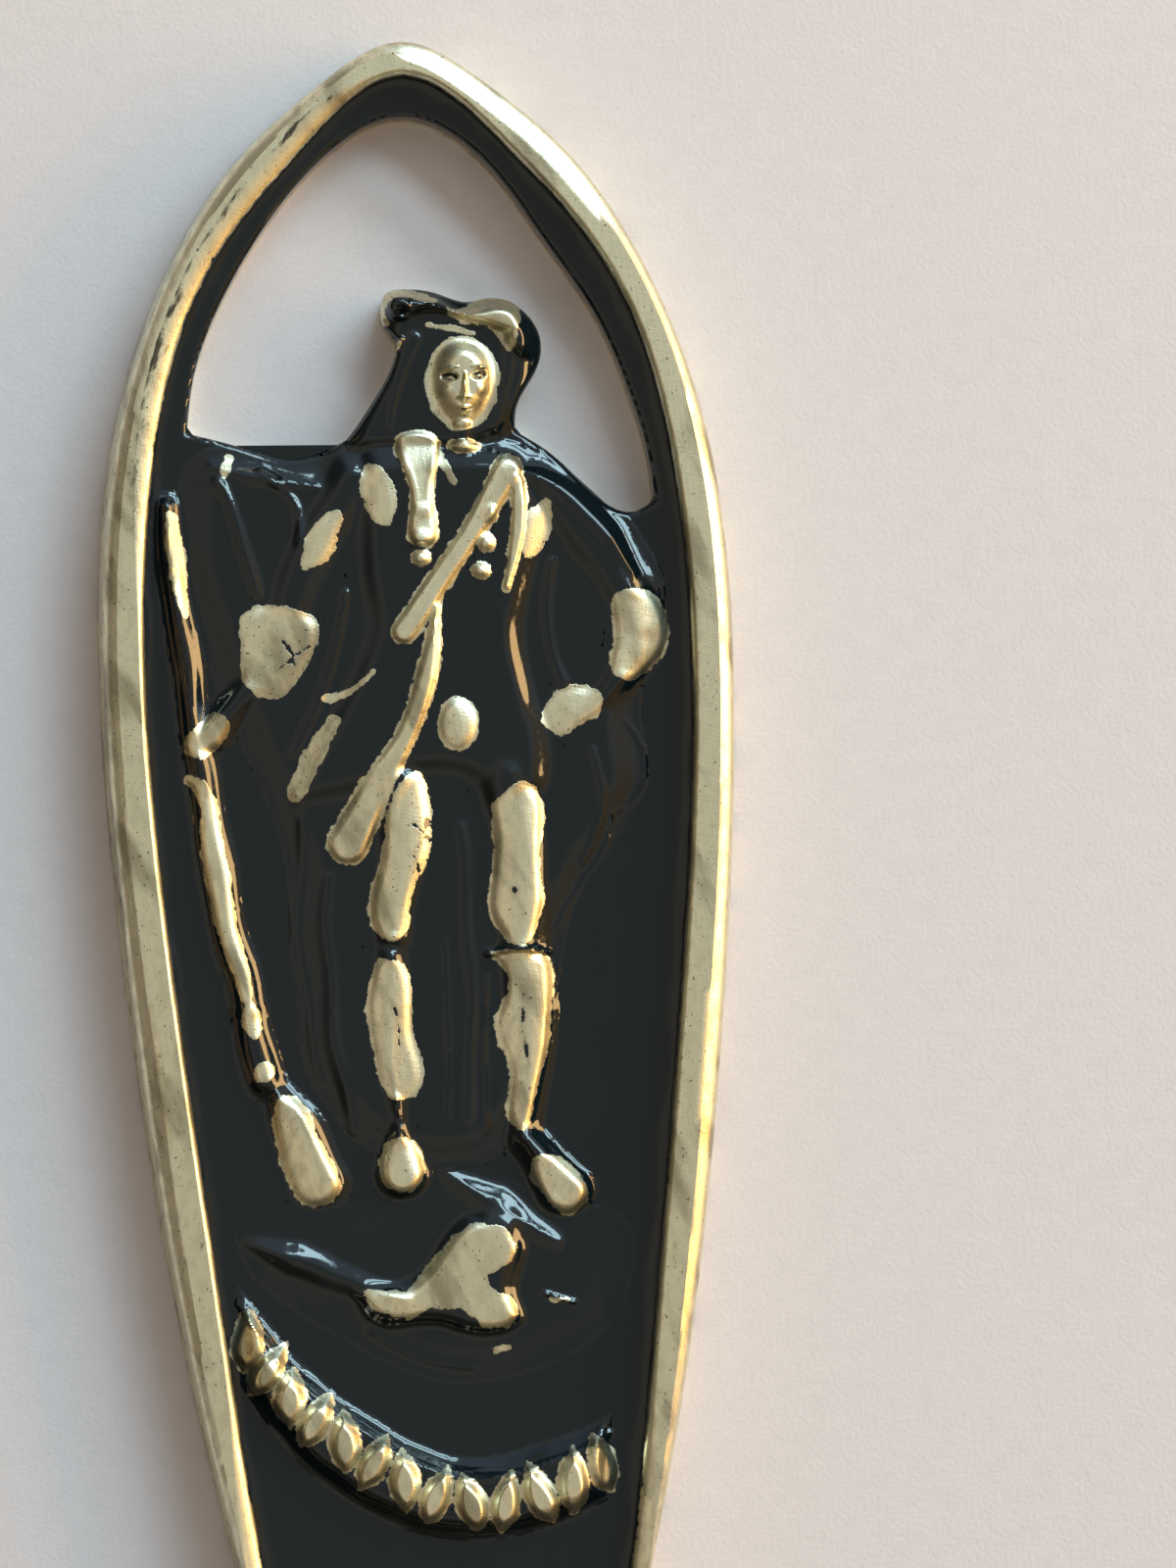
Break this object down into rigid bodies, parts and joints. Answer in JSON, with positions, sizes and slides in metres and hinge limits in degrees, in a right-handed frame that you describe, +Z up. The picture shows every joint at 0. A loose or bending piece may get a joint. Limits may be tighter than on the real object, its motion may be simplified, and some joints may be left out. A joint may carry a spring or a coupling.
{
  "type": "souvenir spoon",
  "caption": "Small collector's spoon: oval bowl, arched stem and flat pointed handle whose rim frames a standing figure in relief on black enamel, with an arched opening round the head.",
  "frame": {"origin": "under the middle of the spoon's box, on the surface that it lies on", "axes": "+Z up out of the decorated face, +Y along the spoon towards the pointed end of the handle, +X to the right seen from above"},
  "size_m": [0.0224, 0.114, 0.0074],
  "materials": {
    "buffed_pewter": "cast and buffed, fine scratches",
    "black_enamel": "glossy fill"
  },
  "bodies": {
    "root": {"back_plate": "buffed_pewter", "banner": "black_enamel", "banner_leaves": "buffed_pewter", "belly_pouch": "buffed_pewter", "bowl": "buffed_pewter", "breeches": "buffed_pewter", "cloak": "black_enamel", "coat": "buffed_pewter", "coat_buttons": "buffed_pewter", "cross_belt": "buffed_pewter", "enamel_ground": "black_enamel", "gaiters": "buffed_pewter", "ground_mound": "black_enamel", "hair": "black_enamel", "handle_frame": "buffed_pewter", "hat": "buffed_pewter", "head": "buffed_pewter", "left_cuff": "buffed_pewter", "left_hand": "buffed_pewter", "left_lapel": "buffed_pewter", "left_sleeve": "buffed_pewter", "musket_barrel": "buffed_pewter", "musket_lock": "buffed_pewter", "musket_stock": "buffed_pewter", "polished_rock": "buffed_pewter", "right_elbow": "buffed_pewter", "right_hand": "buffed_pewter", "right_lapel": "buffed_pewter", "right_sleeve": "buffed_pewter", "scabbard": "buffed_pewter", "shoes": "buffed_pewter", "stem": "buffed_pewter"}
  },
  "joints": []
}
